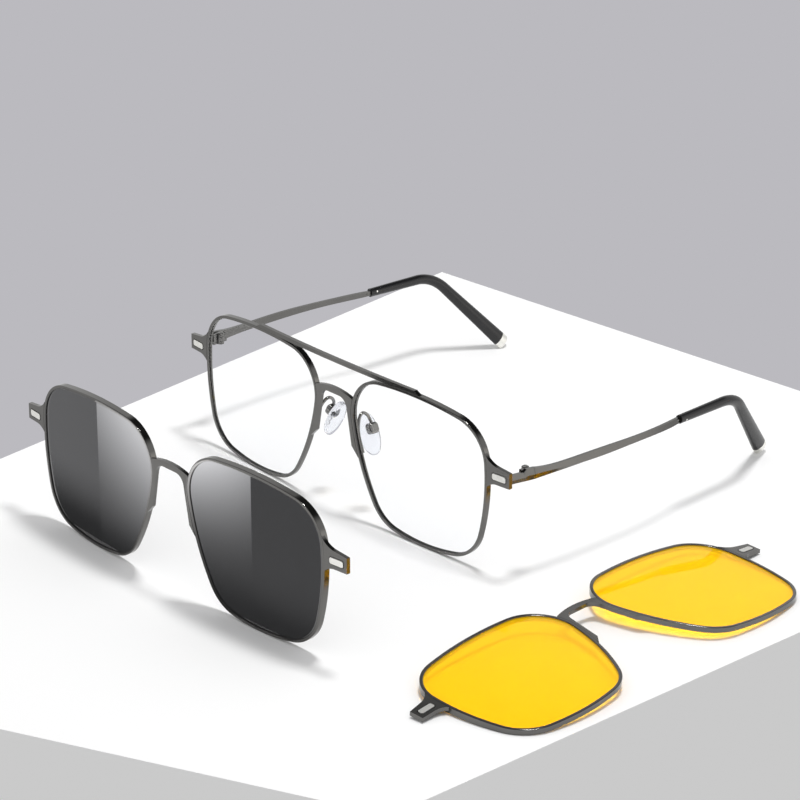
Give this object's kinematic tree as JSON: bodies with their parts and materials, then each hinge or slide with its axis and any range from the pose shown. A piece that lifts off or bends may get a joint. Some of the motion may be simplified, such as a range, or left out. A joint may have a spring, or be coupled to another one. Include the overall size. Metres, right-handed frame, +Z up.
{
  "type": "magnetic clip-on glasses set",
  "caption": "Metal-framed glasses with clear lenses, folding temples and rocking nose pads, with a grey and a yellow magnetic clip-on front laid out beside them.",
  "frame": {"origin": "on the table, under the middle of the whole set's bounding box", "axes": "+X to the right as the picture shows the glasses from the front, +Y back along the open temples, +Z up from the table"},
  "size_m": [0.2158, 0.1982, 0.0485],
  "materials": {
    "gunmetal_alloy": "satin gunmetal plating",
    "bright_steel": "polished",
    "silver_insert": "satin silver plating",
    "magnet": "nickel plating",
    "black_sleeve": "smooth semi-gloss",
    "clear_lens": "clear, polished",
    "grey_lens": "dark grey tint, polished",
    "yellow_lens": "yellow tint, polished",
    "silicone": "clear, soft satin"
  },
  "bodies": {
    "front": {"brow_bar": "gunmetal_alloy", "saddle_bridge": "gunmetal_alloy", "right_rim": "gunmetal_alloy", "left_rim": "gunmetal_alloy", "right_end_piece": "gunmetal_alloy", "left_end_piece": "gunmetal_alloy", "right_end_insert": "silver_insert", "left_end_insert": "silver_insert", "right_end_magnet": "magnet", "left_end_magnet": "magnet", "right_clear_lens": "clear_lens", "left_clear_lens": "clear_lens", "right_hinge_front": "gunmetal_alloy", "left_hinge_front": "gunmetal_alloy", "right_hinge_screw": "bright_steel", "left_hinge_screw": "bright_steel", "right_pad_arm": "bright_steel", "left_pad_arm": "bright_steel", "right_pad_box": "bright_steel", "left_pad_box": "bright_steel", "right_pad_screw": "bright_steel", "left_pad_screw": "bright_steel"},
    "left_temple": {"left_hinge_tongue": "gunmetal_alloy", "left_temple_arm": "gunmetal_alloy", "left_tip_sleeve": "black_sleeve", "left_tip_cap": "bright_steel", "left_tip_pin": "bright_steel"},
    "right_temple": {"right_hinge_tongue": "gunmetal_alloy", "right_temple_arm": "gunmetal_alloy", "right_tip_sleeve": "black_sleeve", "right_tip_cap": "bright_steel", "right_tip_pin": "bright_steel"},
    "left_nose_pad": {"left_nose_pad": "silicone"},
    "right_nose_pad": {"right_nose_pad": "silicone"},
    "dark_clip": {"dark_clip_bridge": "gunmetal_alloy", "dark_clip_right_rim": "gunmetal_alloy", "dark_clip_left_rim": "gunmetal_alloy", "dark_clip_right_lug": "gunmetal_alloy", "dark_clip_left_lug": "gunmetal_alloy", "dark_clip_right_insert": "silver_insert", "dark_clip_left_insert": "silver_insert", "dark_clip_right_magnet": "magnet", "dark_clip_left_magnet": "magnet", "dark_clip_right_lens": "grey_lens", "dark_clip_left_lens": "grey_lens"},
    "yellow_clip": {"yellow_clip_bridge": "gunmetal_alloy", "yellow_clip_right_rim": "gunmetal_alloy", "yellow_clip_left_rim": "gunmetal_alloy", "yellow_clip_right_lug": "gunmetal_alloy", "yellow_clip_left_lug": "gunmetal_alloy", "yellow_clip_right_insert": "silver_insert", "yellow_clip_left_insert": "silver_insert", "yellow_clip_right_magnet": "magnet", "yellow_clip_left_magnet": "magnet", "yellow_clip_right_lens": "yellow_lens", "yellow_clip_left_lens": "yellow_lens"}
  },
  "joints": [
    {"name": "left_temple_fold", "type": "hinge", "parent": "front", "child": "left_temple", "pos_m": [-0.10389, -0.01446, 0.03061], "axis": [0, 0, -1], "range_deg": [0, 85]},
    {"name": "right_temple_fold", "type": "hinge", "parent": "front", "child": "right_temple", "pos_m": [0.03211, -0.01446, 0.03061], "axis": [0, 0, 1], "range_deg": [0, 78]},
    {"name": "left_pad_rock", "type": "hinge", "parent": "front", "child": "left_nose_pad", "pos_m": [-0.04495, -0.02009, 0.02675], "axis": [-0.0349, 0.9994, 0], "range_deg": [-8, 8]},
    {"name": "right_pad_rock", "type": "hinge", "parent": "front", "child": "right_nose_pad", "pos_m": [-0.02683, -0.02009, 0.02675], "axis": [0.0349, 0.9994, 0], "range_deg": [-8, 8]},
    {"name": "dark_clip_attach", "type": "slide", "parent": "front", "child": "dark_clip", "axis": [-0.148, 0.989, 0], "range_m": [0, 0.06822]},
    {"name": "yellow_clip_lift", "type": "slide", "parent": "front", "child": "yellow_clip", "axis": [0, 0, 1], "range_m": [0, 0.06]}
  ]
}
